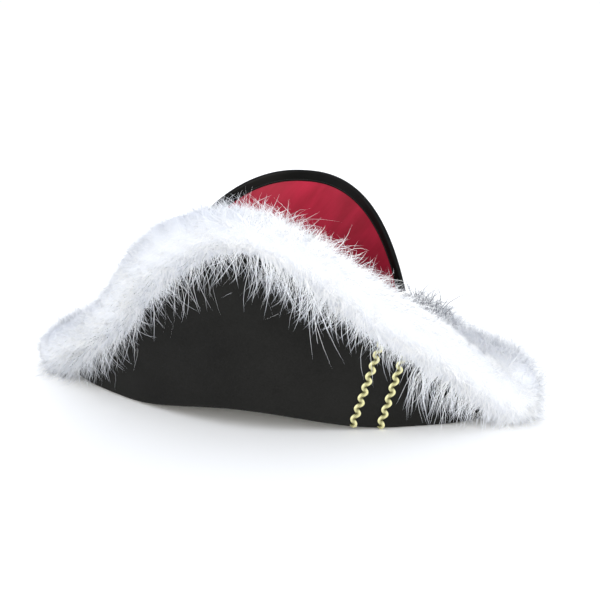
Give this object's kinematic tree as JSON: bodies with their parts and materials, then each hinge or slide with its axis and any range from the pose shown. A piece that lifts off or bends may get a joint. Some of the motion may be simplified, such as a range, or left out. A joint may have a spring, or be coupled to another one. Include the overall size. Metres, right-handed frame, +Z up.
{
  "type": "bicorne hat",
  "caption": "Black felt bicorne costume hat with a tall red-faced rear flap, white marabou trim along the brim's edge and gold braids on the front.",
  "frame": {"origin": "middle of the bottom face of the whole hat's box, on the surface that it rests on", "axes": "+Z up, -Y the way the front panel faces, X from tip to tip with the braids on the +X side"},
  "size_m": [0.564, 0.254, 0.2282],
  "materials": {
    "felt": "matte black felt",
    "satin_red": "red satin with a soft sheen",
    "satin_black": "black satin with a soft sheen",
    "marabou": "white down",
    "gold_braid": "pale gold metallic thread"
  },
  "bodies": {
    "root": {"crown": "felt", "brim": "felt", "rear_facing": "satin_red", "edge_binding": "satin_black", "marabou_trim": "marabou", "braid_inner": "gold_braid", "braid_outer": "gold_braid"}
  },
  "joints": []
}
